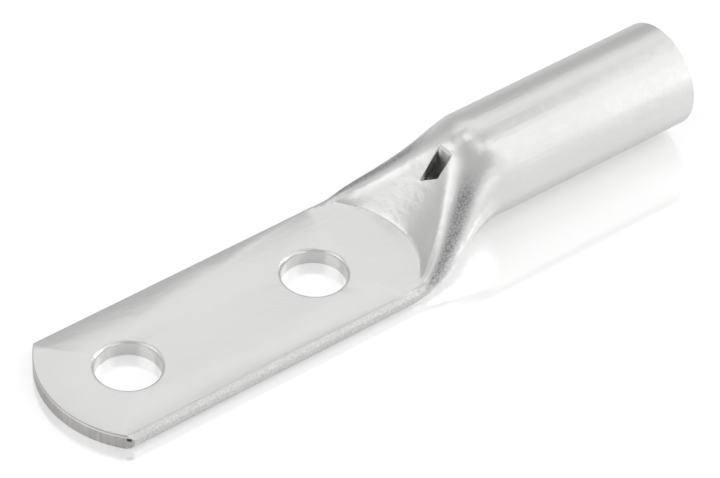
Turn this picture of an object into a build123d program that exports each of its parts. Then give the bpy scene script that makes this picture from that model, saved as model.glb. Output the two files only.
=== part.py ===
"""Two-hole copper cable lug, pressed from one length of tube, in millimetres.

The tube stays round at one end, as the barrel that takes the cable.
Its other end is pressed flat, as the palm that is bolted to a busbar.
Between the two, the round nose of the press leaves a steep hollow with a sight window in it.

Frame: the origin lies midway between the two bolt holes, on the palm's underside.
X runs from the palm to the barrel's mouth, Z is up, and y = 0 is the plane of symmetry.
"""

from build123d import *
import os
from math import cos, pi, radians, sin, tan

# Tube
barrel_diameter = 22.1
tube_wall = 1.72
mouth_chamfer = 0.6
barrel_lift = 0.1

# Palm
palm_width = 32.6
palm_thickness = 3.44
side_squareness = 5.0
side_bulge = 0.2
squareness_fade = 3
end_overhang = 16.9
end_arc_radius = 23.4
end_round = 0.3

# Bolt holes
bolt_hole_diameter = 13.0
bolt_hole_spacing = 44.45
bolt_rim_round = 0.8

# Distances from the bolt hole next to the barrel
press_start = 12.0
barrel_start = 38.2
mouth_distance = 87.7

# How the pressed sections change along the way: width and top lag, the widest place sags,
# and the upper half falls away flatter beside the hollow
width_lag = 1.5
top_lag = 1.1
shoulder_sag = 0.1
flank_fall = 0.55

# Hollow left by the press nose
nose_offset = 2.0
nose_radius = 19.3
nose_slope = 55.5
nose_foot_round = 0.9
cavity_start = 18.5

# Sight window: heights of its two ends on the pressed wall, and the slant of the lower one
window_width = 3.5
window_top = 18.7
window_foot = 13.1
window_skew = 38.0

# Nick where the fold ends, at one corner of the palm
nick_side = 1.4
nick_width = 0.9
nick_height = 0.7
nick_depth = 1.2

# Fineness of the section outlines and of the row of sections, and how far tools run past
outline_points = 20
press_steps = 6
section_gap = 0.1
run_on = 3.0

barrel_radius = barrel_diameter / 2
barrel_height = barrel_radius + barrel_lift
bore_radius = barrel_radius - tube_wall
inner_hole_x = bolt_hole_spacing / 2
outer_hole_x = -bolt_hole_spacing / 2
palm_end_x = outer_hole_x - end_overhang
press_x = inner_hole_x + press_start
barrel_x = inner_hole_x + barrel_start
mouth_x = inner_hole_x + mouth_distance
nose_x = inner_hole_x + nose_offset
nick_y = nick_side - palm_width / 2
nick_x = palm_end_x + end_arc_radius - (end_arc_radius**2 - nick_y**2) ** 0.5
slope = radians(nose_slope)


def ease(share):
    """Smooth change from 0 to 1 that starts and ends level."""
    return share * share * (3 - 2 * share)


def oval_section(x, half_width, bottom, top, widest, squareness, fall):
    """Closed oval across the tube at x: an ellipse, squarer as squareness grows past 2.
    Its upper half is less square by fall."""
    points = []
    for step in range(outline_points):
        turn = 2 * pi * step / outline_points
        across = cos(turn)
        up = sin(turn)
        power = squareness - fall if up > 0 else squareness
        reach = (abs(across) ** power + abs(up) ** power) ** (1 / power)
        height = top - widest if up > 0 else widest - bottom
        points.append((half_width * across / reach, widest + height * up / reach))
    with BuildSketch(Plane.YZ.offset(x)) as section:
        with BuildLine():
            Spline(points, periodic=True)
        make_face()
    return section.sketch


def pressed_section(share, inset=0.0, x=None):
    """Tube section between the palm, share 0, and the barrel, share 1, inset by a wall."""
    lift = ease(share)
    half_width = palm_width / 2 + (barrel_radius - palm_width / 2) * lift**width_lag
    bulge = 0 if inset else side_bulge * (1 - share)
    bottom = barrel_lift * share - bulge
    top = palm_thickness + (barrel_height + barrel_radius - palm_thickness) * lift**top_lag + bulge
    rise = lift * (1 - shoulder_sag * sin(pi * share))
    widest = palm_thickness / 2 + (barrel_height - palm_thickness / 2) * rise
    squareness = 2 + (side_squareness - 2) * (1 - share) ** squareness_fade
    fall = flank_fall * sin(pi * share)
    place = press_x + (barrel_x - press_x) * share if x is None else x
    return oval_section(place, half_width - inset, bottom + inset, top - inset, widest, squareness, fall)


def round_section(x, radius):
    """Round tube section at x."""
    with BuildSketch(Plane.YZ.offset(x)) as section:
        with Locations((0, barrel_height)):
            Circle(radius)
    return section.sketch


def nose_profile(floor, grow=0.0):
    """Half profile of the press nose about its axis, down to a floor, its cone moved out by grow."""
    foot = nose_radius + grow / sin(slope) + (floor - palm_thickness) / tan(slope)
    with BuildSketch(Plane.XZ) as profile:
        with BuildLine():
            Polyline(
                (nose_x, floor),
                (nose_x + foot, floor),
                (nose_x + foot + barrel_diameter / tan(slope), floor + barrel_diameter),
                (nose_x, floor + barrel_diameter),
                close=True,
            )
        make_face()
    return profile.sketch


nose_axis = Axis((nose_x, 0, 0), (0, 0, 1))
shares = [step / press_steps for step in range(press_steps + 1)]

# Outside of the folded tube, before the press faces flatten it
with BuildPart() as tube:
    palm_outline = pressed_section(0, x=press_x - run_on)
    barrel_outline = round_section(barrel_x + run_on, barrel_radius)
    pressed_outlines = [pressed_section(share) for share in shares[:-1]]
    loft([palm_outline, *pressed_outlines, round_section(barrel_x, barrel_radius), barrel_outline])
    extrude(palm_outline, amount=palm_end_x - press_x, dir=(1, 0, 0))
    extrude(barrel_outline, amount=mouth_x - barrel_x - run_on, dir=(1, 0, 0))

# Upper press tool: a flat face over the palm that ends in the round nose
with BuildPart() as press_tool:
    revolve(nose_profile(palm_thickness), axis=nose_axis)
    fillet(press_tool.edges().group_by(Axis.Z)[0], nose_foot_round)
    with BuildSketch(Plane.XY.offset(palm_thickness)):
        with Locations((nose_x, 0)):
            Rectangle(nose_x - palm_end_x + run_on, 2 * palm_width, align=(Align.MAX, Align.CENTER))
    extrude(amount=barrel_diameter)

# Inside of the tube: the bore, then the cavity that closes under the hollow
with BuildPart() as inside:
    closing = (cavity_start - press_start) / (barrel_start - press_start)
    inner_shares = [closing, *[share for share in shares[:-1] if share > closing + section_gap]]
    inner_outlines = [pressed_section(share, tube_wall) for share in inner_shares]
    bore_outline = round_section(barrel_x + run_on, bore_radius)
    loft([*inner_outlines, round_section(barrel_x, bore_radius), bore_outline])
    extrude(bore_outline, amount=mouth_x - barrel_x - run_on, dir=(1, 0, 0))
    revolve(nose_profile(0, tube_wall), axis=nose_axis, mode=Mode.SUBTRACT)

# Sight window: its upper wall is upright, its lower wall square to the pressed wall and slanted
window_top_x = nose_x + nose_radius + (window_top - palm_thickness) / tan(slope)
window_foot_x = nose_x + nose_radius + (window_foot - palm_thickness) / tan(slope)
skew = radians(window_skew)
lower_wall = Plane(
    origin=(window_foot_x, 0, window_foot),
    x_dir=(-sin(slope), 0, cos(slope)),
    z_dir=(cos(slope) * cos(skew), sin(skew), sin(slope) * cos(skew)),
)
with BuildPart() as window:
    with BuildSketch(Plane.XZ):
        with Locations((window_top_x, window_top)):
            Rectangle(nose_radius / 2, barrel_diameter, align=(Align.MAX, Align.CENTER))
    extrude(amount=window_width / 2, both=True)
    split(bisect_by=lower_wall, keep=Keep.TOP)

# Everything past the arc that the palm's end is sheared to
with BuildPart() as end_waste:
    with BuildSketch():
        with Locations((palm_end_x, 0)):
            Rectangle(2 * end_arc_radius, 2 * palm_width)
        with Locations((palm_end_x + end_arc_radius, 0)):
            Circle(end_arc_radius, mode=Mode.SUBTRACT)
        with Locations((palm_end_x + end_arc_radius, 0)):
            Rectangle(2 * end_arc_radius, 2 * palm_width, align=(Align.MIN, Align.CENTER), mode=Mode.SUBTRACT)
    extrude(amount=2 * palm_thickness, both=True)

with BuildPart() as cable_lug:
    add(tube.part)
    add(press_tool.part, mode=Mode.SUBTRACT)
    # Flat underside
    with BuildSketch():
        with Locations(((palm_end_x + mouth_x) / 2, 0)):
            Rectangle(mouth_x - palm_end_x + 2 * run_on, 2 * palm_width)
    extrude(amount=-barrel_diameter, mode=Mode.SUBTRACT)
    # Palm's end, with its upper edge drawn down by the shear
    add(end_waste.part, mode=Mode.SUBTRACT)
    end_edge = cable_lug.edges(Select.LAST).filter_by(GeomType.CIRCLE).sort_by(Axis.Z)[-1]
    fillet(end_edge, end_round)
    # Bolt holes, with rims rounded by the punch
    with Locations((inner_hole_x, 0, palm_thickness), (outer_hole_x, 0, palm_thickness)):
        Hole(bolt_hole_diameter / 2, depth=2 * palm_thickness)
    rims = cable_lug.edges(Select.LAST).filter_by(GeomType.CIRCLE).group_by(Axis.Z)[-1]
    fillet(rims, bolt_rim_round)
    add(inside.part, mode=Mode.SUBTRACT)
    add(window.part, mode=Mode.SUBTRACT)
    # Nick in the palm's end face
    with Locations((nick_x, nick_y, palm_thickness / 2)):
        Box(2 * nick_depth, nick_width, nick_height, mode=Mode.SUBTRACT)
    mouth = cable_lug.edges().filter_by(GeomType.CIRCLE).group_by(Axis.X)[-1].sort_by(SortBy.RADIUS)
    chamfer(mouth[0], mouth_chamfer)

cable_lug.part.label = "cable_lug"
os.makedirs("parts", exist_ok=True)
export_step(cable_lug.part, "parts/cable_lug.step")
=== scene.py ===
"""Look of the copper cable lug: satin tin over copper, on a pale floor under soft studio light. Metres."""

from math import cos, radians, sin

import bmesh
import bpy
import numpy as np
from mathutils import Matrix, Vector
from mathutils.kdtree import KDTree


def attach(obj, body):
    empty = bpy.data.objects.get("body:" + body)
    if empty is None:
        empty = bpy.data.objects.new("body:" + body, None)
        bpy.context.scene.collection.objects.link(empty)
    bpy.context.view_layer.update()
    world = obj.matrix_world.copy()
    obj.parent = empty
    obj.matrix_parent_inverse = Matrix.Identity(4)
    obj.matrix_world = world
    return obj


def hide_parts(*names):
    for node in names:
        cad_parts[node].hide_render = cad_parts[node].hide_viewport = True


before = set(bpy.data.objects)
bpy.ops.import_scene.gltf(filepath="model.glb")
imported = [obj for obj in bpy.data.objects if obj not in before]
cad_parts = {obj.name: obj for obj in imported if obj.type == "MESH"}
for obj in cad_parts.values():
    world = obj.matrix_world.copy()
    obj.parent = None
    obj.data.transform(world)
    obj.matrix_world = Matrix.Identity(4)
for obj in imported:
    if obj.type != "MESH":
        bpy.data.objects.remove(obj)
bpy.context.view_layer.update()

MM = 0.001
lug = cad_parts["cable_lug"]

# Places and sizes as in the part's source: the inner bolt hole, the press nose with the foot
# radius and slope of its cone, the palm's top and the middle of the nick
INNER_HOLE_X = 22.225 * MM
NOSE_X = 24.225 * MM
NOSE_RADIUS = 19.3 * MM
NOSE_SLOPE = radians(55.5)
PALM_TOP = 3.44 * MM
NICK = Vector((-33.78, -14.9, 1.72)) * MM

# Smoothing of the crest, of the window's rims and of the pressed part: where it reaches,
# how short the edges are made there, and how often the vertices are moved
CREST_REACH, CREST_EDGE, CREST_ROUNDS = 3.2 * MM, 0.38 * MM, 45
RIM_REACH, RIM_EDGE, RIM_ROUNDS = 0.45 * MM, 0.12 * MM, 12
PRESS_START, PRESS_END, PRESS_EDGE, PRESS_ROUNDS = 34.0 * MM, 66.0 * MM, 1.1 * MM, 8

# How far from its two ends and from a sharp fold the smoothing of the pressed part fades out,
# and the share of the way that a vertex moves at a time
PRESS_FADE, FOLD_FADE = 2.0 * MM, 1.5 * MM
RELAX_SHARE = 0.6

# Angles between faces: an edge of the hollow, a fold that stays sharp, and one shaded sharp
EDGE_TURN, FOLD_TURN, SHADE_TURN = radians(15), radians(24), radians(32)

# Window: half its width, and the heights that its rims lie between, with a little to spare
WINDOW_HALF, WINDOW_LOW, WINDOW_HIGH = 1.9 * MM, 8.0 * MM, 19.2 * MM

# Nick: how far from its middle its corners lie, and how far it is shifted
NICK_REACH, NICK_HALF = 1.5 * MM, 0.6 * MM
NICK_SHIFT = Vector((0.5, -0.6, 0.68)) * MM

# Linear colours of the metal, darkest and lightest: plain tin, the grainy side beside the hollow painted
# darker as shade, the folded sides and the sheared end, and a painted highlight along the end's upper edge
TIN = ((0.83, 0.827, 0.818, 1), (0.89, 0.887, 0.878, 1))
# Painted shade: the dark grainy colour of the side beside the hollow, standing in for its shade
SHADED_GRAIN = ((0.26, 0.26, 0.265, 1), (0.74, 0.74, 0.745, 1))
SPECKLE = ((0.6, 0.6, 0.595, 1), (0.84, 0.84, 0.83, 1))
SHEAR = ((0.51, 0.50, 0.49, 1), (0.61, 0.60, 0.59, 1))
# Painted highlight: a light band where the die roll of the end's upper edge catches the light
LIP_HIGHLIGHT = (0.9, 0.9, 0.89, 1)

# Soft studio light: height and turn in degrees, width, depth and strength of each soft box
SOFT_BOXES = [
    (8, 270, 0.6, 0.33, 0.16),
    (8, 300, 0.6, 0.33, 0.05),
    (8, 330, 0.6, 0.33, 0.6),
    (25, 120, 0.6, 0.38, 0.04),
    (25, 150, 0.6, 0.38, 0.12),
    (25, 180, 0.6, 0.38, 0.08),
    (25, 285, 1.2, 0.38, 0.05),
    (25, 330, 0.6, 0.38, 0.14),
    (42, 0, 0.5, 0.38, 0.2),
    (42, 47, 1.0, 0.38, 0.065),
    (42, 90, 0.5, 0.38, 0.07),
    (42, 165, 1.0, 0.38, 0.08),
    (42, 315, 1.0, 0.38, 0.07),
    (60, 45, 0.5, 0.4, 0.06),
    (60, 135, 0.5, 0.4, 0.05),
    (60, 315, 0.5, 0.4, 0.1),
    (76, 90, 0.3, 0.35, 0.14),
    (76, 270, 0.3, 0.35, 0.12),
]
BOX_DISTANCE = 1.2
BOX_AIM = Vector((0.03, 0, 0.01))
BOX_POWER = 20
ROOM = 0.5
WHITE = (1, 1, 1, 1)

# Floor: colour, share and roughness of its gloss, and its glow to the camera and in the metal
FLOOR_COLOUR = (0.8, 0.8, 0.8, 1)
FLOOR_GLOSS = 0.4
FLOOR_ROUGHNESS = 0.1
FLOOR_GLOW = 0.3
MIRRORED_GLOW = 0.09

# Camera: its angles, how far right and up of the inner bolt hole it aims, distance and lens in mm
CAMERA_TURN = radians(-40.07)
CAMERA_RISE = radians(41.92)
CAMERA_ROLL = radians(2.86)
CAMERA_RIGHT = 9.01
CAMERA_UP = 9.03
CAMERA_DISTANCE = 820
CAMERA_LENS = 210.8


def feed(tree, value, socket):
    """Links a socket to another, or sets its plain value."""
    if isinstance(value, bpy.types.NodeSocket):
        tree.links.new(value, socket)
    else:
        socket.default_value = value


def noise(tree, coords, scale, detail, roughness):
    """Noise from 0 to 1, with one scale per metre or one for each axis."""
    if isinstance(scale, tuple):
        stretch = tree.nodes.new("ShaderNodeMapping")
        stretch.inputs["Scale"].default_value = scale
        feed(tree, coords, stretch.inputs["Vector"])
        coords = stretch.outputs["Vector"]
        scale = 1.0
    node = tree.nodes.new("ShaderNodeTexNoise")
    node.inputs["Scale"].default_value = scale
    node.inputs["Detail"].default_value = detail
    node.inputs["Roughness"].default_value = roughness
    feed(tree, coords, node.inputs["Vector"])
    return node.outputs["Fac"]


def remap(tree, value, low, high, to_low, to_high):
    """Value moved from one span to another, and kept inside it."""
    node = tree.nodes.new("ShaderNodeMapRange")
    node.inputs["From Min"].default_value = low
    node.inputs["From Max"].default_value = high
    node.inputs["To Min"].default_value = to_low
    node.inputs["To Max"].default_value = to_high
    feed(tree, value, node.inputs["Value"])
    return node.outputs["Result"]


def joined(tree, operation, a, b):
    """Two numbers joined by a Math node."""
    node = tree.nodes.new("ShaderNodeMath")
    node.operation = operation
    feed(tree, a, node.inputs[0])
    feed(tree, b, node.inputs[1])
    return node.outputs["Value"]


def mixed(tree, factor, a, b):
    """Colour between a and b, each a socket or a plain colour."""
    node = tree.nodes.new("ShaderNodeMix")
    node.data_type = "RGBA"
    feed(tree, factor, node.inputs["Factor"])
    feed(tree, a, node.inputs["A"])
    feed(tree, b, node.inputs["B"])
    return node.outputs["Result"]


def bumped(tree, height, distance, strength, under=None):
    """Normal of a bump, on top of another one if given."""
    node = tree.nodes.new("ShaderNodeBump")
    node.inputs["Distance"].default_value = distance
    feed(tree, strength, node.inputs["Strength"])
    feed(tree, height, node.inputs["Height"])
    if under is not None:
        feed(tree, under, node.inputs["Normal"])
    return node.outputs["Normal"]


def parts_of(tree, vector):
    """X, Y and Z of a vector."""
    node = tree.nodes.new("ShaderNodeSeparateXYZ")
    feed(tree, vector, node.inputs["Vector"])
    return node.outputs


def shorn_end(tree, place):
    """1 on the palm's sheared end face, 0 elsewhere."""
    facing = parts_of(tree, tree.nodes.new("ShaderNodeTexCoord").outputs["Normal"])
    at_end = remap(tree, place["X"], -0.030, -0.031, 0, 1)
    upright = remap(tree, facing["X"], -0.5, -0.8, 0, 1)
    return joined(tree, "MULTIPLY", at_end, upright)


def lip_highlight(tree, place):
    """1 at the height of the painted highlight along the end face's upper edge, 0 elsewhere."""
    over = remap(tree, place["Z"], 0.0026, 0.0028, 0, 1)
    under = remap(tree, place["Z"], 0.003, 0.0031, 1, 0)
    return joined(tree, "MINIMUM", over, under)


def rolled_side(tree, place):
    """1 on the folded sides of the palm, 0 elsewhere."""
    beside = joined(tree, "ABSOLUTE", place["Y"], 0.0)
    outer = remap(tree, beside, 0.0151, 0.0156, 0, 1)
    on_palm = remap(tree, place["X"], 0.034, 0.042, 1, 0)
    return joined(tree, "MULTIPLY", outer, on_palm)


def tinned_copper():
    """Satin tin, with grain, speckle and shear lines where the shear left them, painted shade on the side
    beside the hollow and a painted highlight along the end's upper edge.
    """
    material = bpy.data.materials.new("tinned_copper")
    material.use_nodes = True
    tree = material.node_tree
    shader = tree.nodes["Principled BSDF"]
    shader.inputs["Metallic"].default_value = 1.0
    coords = tree.nodes.new("ShaderNodeTexCoord").outputs["Object"]
    place = parts_of(tree, coords)
    cloud = noise(tree, coords, 90, 3.0, 0.5)
    grain = remap(tree, noise(tree, coords, 2600, 3.0, 0.6), 0.3, 0.7, 0, 1)
    lines = remap(tree, noise(tree, coords, (1300, 1300, 150), 2.0, 0.6), 0.36, 0.64, 0, 1)

    # Painted shade: the tube's side beside the hollow is coloured darker, with grain, where it lies in
    # shade
    attribute = tree.nodes.new("ShaderNodeAttribute")
    attribute.attribute_name = "shaded_grain_band"
    shaded_grain_band = attribute.outputs["Fac"]
    end = shorn_end(tree, place)
    side = rolled_side(tree, place)
    dull = joined(tree, "MAXIMUM", joined(tree, "MAXIMUM", side, shaded_grain_band), end)

    # Painted highlight: a light band along the end face's upper edge, over the shear lines
    scored_and_highlit = mixed(tree, lip_highlight(tree, place), mixed(tree, lines, *SHEAR), LIP_HIGHLIGHT)
    colour = mixed(tree, cloud, *TIN)
    colour = mixed(tree, side, colour, mixed(tree, grain, *SPECKLE))
    # Painted shade: dark grainy colour laid over the side beside the hollow
    colour = mixed(tree, shaded_grain_band, colour, mixed(tree, grain, *SHADED_GRAIN))
    colour = mixed(tree, end, colour, scored_and_highlit)
    feed(tree, colour, shader.inputs["Base Color"])

    rough = tree.nodes.new("ShaderNodeMix")
    feed(tree, dull, rough.inputs["Factor"])
    feed(tree, remap(tree, cloud, 0, 1, 0.28, 0.32), rough.inputs["A"])
    feed(tree, remap(tree, grain, 0, 1, 0.34, 0.44), rough.inputs["B"])
    feed(tree, rough.outputs["Result"], shader.inputs["Roughness"])

    # Pits, strong where the metal is dull, under the mottling and the drawn lines
    pits = noise(tree, coords, 1500, 2.0, 0.6)
    mottle = noise(tree, coords, (350, 700, 700), 3.0, 0.6)
    drawn = noise(tree, coords, (110, 650, 650), 2.0, 0.5)
    relief = bumped(tree, pits, 0.02 * MM, remap(tree, dull, 0, 1, 0.07, 0.9))
    relief = bumped(tree, mottle, 0.06 * MM, 0.8, relief)
    relief = bumped(tree, drawn, 0.03 * MM, 0.8, relief)
    feed(tree, relief, shader.inputs["Normal"])
    return material


def above_cone(co):
    """Height of points above the press nose's cone, measured square to it."""
    reach = np.hypot(co[:, 0] - NOSE_X, co[:, 1]) - NOSE_RADIUS
    return (co[:, 2] - PALM_TOP) * cos(NOSE_SLOPE) - reach * sin(NOSE_SLOPE)


def ramp(values, start, end):
    """0 at start, 1 at end, and level past both."""
    return np.clip((values - start) / (end - start), 0, 1)


def shaded_grain_level(co):
    """1 on the tube's side beside the hollow, where shade is painted in as a dark grainy colour, fading to
    0 around it.
    """
    below = -above_cone(co)
    across = ramp(below, 0.8 * MM, 1.6 * MM) * ramp(below, 4.6 * MM, 2.6 * MM)
    upward = ramp(co[:, 2], 2.0 * MM, 3.5 * MM) * ramp(co[:, 2], 18.0 * MM, 14.0 * MM)
    return across * upward * ramp(co[:, 0], 33.5 * MM, 35.5 * MM)


def point_tree(edges):
    """Search tree of points along the edges."""
    points = [e.verts[0].co.lerp(e.verts[1].co, t / 6) for e in edges for t in range(7)]
    tree = KDTree(len(points))
    for i, point in enumerate(points):
        tree.insert(point, i)
    tree.balance()
    return tree


def pressed(a, b):
    """Whether an edge from a to b reaches into the pressed part."""
    return max(a.x, b.x) > PRESS_START and min(a.x, b.x) < PRESS_END


def near(points, reach):
    """Test of whether an edge comes within reach of the points."""
    def test(a, b):
        away = [points.find(a.lerp(b, t / 4))[2] for t in range(5)]
        return min(away) < reach + (a - b).length / 8
    return test


def refine(bm, wanted, longest, rounds):
    """Halves the wanted edges, round after round, until none is longer than longest."""
    for _ in range(rounds):
        cut = []
        for edge in bm.edges:
            a, b = (vert.co for vert in edge.verts)
            if (a - b).length > longest and wanted(a, b):
                cut.append(edge)
        if not cut:
            break
        bmesh.ops.subdivide_edges(bm, edges=cut, cuts=1, use_single_edge=True)
        bmesh.ops.triangulate(bm, faces=[face for face in bm.faces if len(face.verts) > 3])


def relax(bm, weight, rounds):
    """Moves vertices towards the mean of their neighbours, each by its weight."""
    co = np.array([vert.co for vert in bm.verts])
    pairs = np.array([(e.verts[0].index, e.verts[1].index) for e in bm.edges])
    index = np.flatnonzero(weight > 0)
    for _ in range(rounds):
        total = np.zeros_like(co)
        count = np.zeros((len(co), 1))
        np.add.at(total, pairs[:, 0], co[pairs[:, 1]])
        np.add.at(total, pairs[:, 1], co[pairs[:, 0]])
        np.add.at(count, pairs[:, 0], 1)
        np.add.at(count, pairs[:, 1], 1)
        mean = total[index] / count[index]
        co[index] += (mean - co[index]) * weight[index, None] * RELAX_SHARE
    for vert, place in zip(bm.verts, co):
        vert.co = place


def shift_nick(bm):
    """Moves the nick to its place in the photograph, nearer to the corner and higher."""
    for vert in bm.verts:
        off = vert.co - NICK
        if off.length < NICK_REACH and off.y < NICK_HALF and abs(off.z) < NICK_HALF:
            vert.co += NICK_SHIFT


def hollow_edges(bm):
    """Edges of the hollow's cone that lie on its crest, and those on the window's rims."""
    centres = np.array([face.calc_center_median() for face in bm.faces])
    on_cone = {}
    for face, gap in zip(bm.faces, np.abs(above_cone(centres))):
        on_cone[face] = gap < 0.03 * MM and 0.4 < face.normal.z < 0.7
    crest, rim = [], []
    for edge in bm.edges:
        if len(edge.link_faces) != 2:
            continue
        a, b = edge.link_faces
        if on_cone[a] == on_cone[b] or edge.calc_face_angle() <= EDGE_TURN:
            continue
        other = b if on_cone[a] else a
        middle = (edge.verts[0].co + edge.verts[1].co) / 2
        if abs(middle.y) < WINDOW_HALF and WINDOW_LOW < middle.z < WINDOW_HIGH:
            rim.append(edge)
        elif middle.z > 4.0 * MM and other.normal.z > -0.3:
            crest.append(edge)
    return crest, rim


def smoothing_weights(bm, crest, rim):
    """How far each vertex gives way in the pressed part, at the crest and at the rims."""
    sharp = [e for e in bm.edges if len(e.link_faces) == 2 and e.calc_face_angle() > FOLD_TURN]
    folds = point_tree([e for e in sharp if crest.find(e.verts[0].co)[2] > 0.3 * MM])
    on_press, on_crest, on_rim = np.zeros((3, len(bm.verts)))
    for vert in bm.verts:
        away = crest.find(vert.co)[2] / CREST_REACH
        if away < 1 and vert.normal.z > -0.25:
            on_crest[vert.index] = (1 - away * away) ** 2
        away = rim.find(vert.co)[2] / RIM_REACH
        if away < 1:
            on_rim[vert.index] = (1 - away * away) ** 2
        inside = min(vert.co.x - PRESS_START, PRESS_END - vert.co.x) / PRESS_FADE
        if inside > 0:
            on_press[vert.index] = min(1, inside, folds.find(vert.co)[2] / FOLD_FADE)
    return on_press, on_crest, on_rim


def lug_skin(source):
    """Copy of the CAD node whose crest, where the hollow meets the tube, is rolled over,
    whose window has soft rims and whose pressed part is evenly curved."""
    bm = bmesh.new()
    bm.from_mesh(source.data)
    bmesh.ops.remove_doubles(bm, verts=bm.verts, dist=0.002 * MM)
    bmesh.ops.triangulate(bm, faces=bm.faces)
    shift_nick(bm)
    bm.normal_update()
    crest, rim = (point_tree(edges) for edges in hollow_edges(bm))
    refine(bm, pressed, PRESS_EDGE, 7)
    refine(bm, near(crest, CREST_REACH), CREST_EDGE, 9)
    refine(bm, near(rim, RIM_REACH), RIM_EDGE, 9)
    bm.normal_update()
    bm.verts.ensure_lookup_table()
    bm.verts.index_update()
    on_press, on_crest, on_rim = smoothing_weights(bm, crest, rim)
    relax(bm, on_press, PRESS_ROUNDS)
    relax(bm, on_crest, CREST_ROUNDS)
    relax(bm, on_rim, RIM_ROUNDS)

    mesh = bpy.data.meshes.new("lug_skin")
    mesh.from_pydata([v.co[:] for v in bm.verts], [], [[v.index for v in f.verts] for f in bm.faces])
    bm.free()
    mesh.polygons.foreach_set("use_smooth", [True] * len(mesh.polygons))
    mesh.set_sharp_from_angle(angle=SHADE_TURN)
    # Painted shade: how far each vertex lies in the darker band beside the hollow
    shaded_grain_band = mesh.attributes.new("shaded_grain_band", "FLOAT", "POINT")
    shaded_grain_band.data.foreach_set("value", shaded_grain_level(np.array([v.co for v in mesh.vertices])))
    skin = bpy.data.objects.new("lug_skin", mesh)
    bpy.context.scene.collection.objects.link(skin)
    return skin


def floor_sheet():
    """Pale glossy sheet, which glows just enough to look white to the camera, and less in the metal."""
    material = bpy.data.materials.new("sheet")
    material.use_nodes = True
    tree = material.node_tree
    tree.nodes.clear()
    matt = tree.nodes.new("ShaderNodeBsdfDiffuse")
    matt.inputs["Color"].default_value = FLOOR_COLOUR
    gloss = tree.nodes.new("ShaderNodeBsdfGlossy")
    gloss.inputs["Color"].default_value = WHITE
    gloss.inputs["Roughness"].default_value = FLOOR_ROUGHNESS
    body = tree.nodes.new("ShaderNodeMixShader")
    body.inputs["Fac"].default_value = FLOOR_GLOSS
    feed(tree, matt.outputs["BSDF"], body.inputs[1])
    feed(tree, gloss.outputs["BSDF"], body.inputs[2])
    path = tree.nodes.new("ShaderNodeLightPath")
    seen = remap(tree, path.outputs["Is Camera Ray"], 0, 1, 0, FLOOR_GLOW)
    mirrored = remap(tree, path.outputs["Is Glossy Ray"], 0, 1, 0, MIRRORED_GLOW)
    glow = tree.nodes.new("ShaderNodeEmission")
    glow.inputs["Color"].default_value = WHITE
    feed(tree, joined(tree, "MAXIMUM", seen, mirrored), glow.inputs["Strength"])
    both = tree.nodes.new("ShaderNodeAddShader")
    feed(tree, body.outputs["Shader"], both.inputs[0])
    feed(tree, glow.outputs["Emission"], both.inputs[1])
    out = tree.nodes.new("ShaderNodeOutputMaterial")
    feed(tree, both.outputs["Shader"], out.inputs["Surface"])
    return material


def soft_box(height, turn, width, depth, strength):
    """Area light that faces the lug from that height and turn in degrees."""
    data = bpy.data.lights.new("soft_box", "AREA")
    data.shape = "RECTANGLE"
    data.size = width
    data.size_y = depth
    data.energy = BOX_POWER * width * depth * strength
    lamp = bpy.data.objects.new("soft_box", data)
    bpy.context.scene.collection.objects.link(lamp)
    height, turn = radians(height), radians(turn)
    away = Vector((cos(turn) * cos(height), sin(turn) * cos(height), sin(height)))
    lamp.location = BOX_AIM + away * BOX_DISTANCE
    lamp.rotation_euler = away.to_track_quat("Z", "Y").to_euler()


def studio():
    """World that is white to the camera and lights the lug as an evenly lit room."""
    world = bpy.data.worlds.new("studio")
    world.use_nodes = True
    tree = world.node_tree
    tree.nodes.clear()
    room = tree.nodes.new("ShaderNodeBackground")
    room.inputs["Color"].default_value = WHITE
    room.inputs["Strength"].default_value = ROOM
    white = tree.nodes.new("ShaderNodeBackground")
    white.inputs["Color"].default_value = WHITE
    white.inputs["Strength"].default_value = 1.0
    path = tree.nodes.new("ShaderNodeLightPath")
    mix = tree.nodes.new("ShaderNodeMixShader")
    feed(tree, path.outputs["Is Camera Ray"], mix.inputs["Fac"])
    feed(tree, room.outputs["Background"], mix.inputs[1])
    feed(tree, white.outputs["Background"], mix.inputs[2])
    out = tree.nodes.new("ShaderNodeOutputWorld")
    feed(tree, mix.outputs["Shader"], out.inputs["Surface"])
    return world


def photo_camera():
    """Camera at the photograph's angle."""
    turn, rise, roll = CAMERA_TURN, CAMERA_RISE, CAMERA_ROLL
    back = Vector((sin(turn) * cos(rise), -cos(turn) * cos(rise), sin(rise)))
    right = Vector((cos(turn), sin(turn), 0))
    up = back.cross(right)
    right, up = right * cos(roll) + up * sin(roll), up * cos(roll) - right * sin(roll)
    offset = right * CAMERA_RIGHT + up * CAMERA_UP + back * CAMERA_DISTANCE
    place = Vector((INNER_HOLE_X, 0, 0)) + offset * MM
    camera = bpy.data.cameras.new("camera")
    camera.sensor_width = 36.0
    camera.lens = CAMERA_LENS
    camera.clip_start = 0.05
    camera.clip_end = 20.0
    viewer = bpy.data.objects.new("camera", camera)
    bpy.context.scene.collection.objects.link(viewer)
    viewer.matrix_world = Matrix((
        (right.x, up.x, back.x, place.x),
        (right.y, up.y, back.y, place.y),
        (right.z, up.z, back.z, place.z),
        (0, 0, 0, 1),
    ))
    return viewer


skin = lug_skin(lug)
skin.data.materials.append(tinned_copper())
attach(skin, "root")
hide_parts("cable_lug")

# Floor, which keeps the lug's shadow and a faint reflection
bpy.ops.mesh.primitive_plane_add(size=3.0, location=(0.03, 0, 0))
floor = bpy.context.object
floor.name = "floor"
floor.data.materials.append(floor_sheet())

for row in SOFT_BOXES:
    soft_box(*row)
bpy.context.scene.world = studio()
bpy.context.scene.camera = photo_camera()
bpy.context.scene.view_settings.view_transform = "Standard"
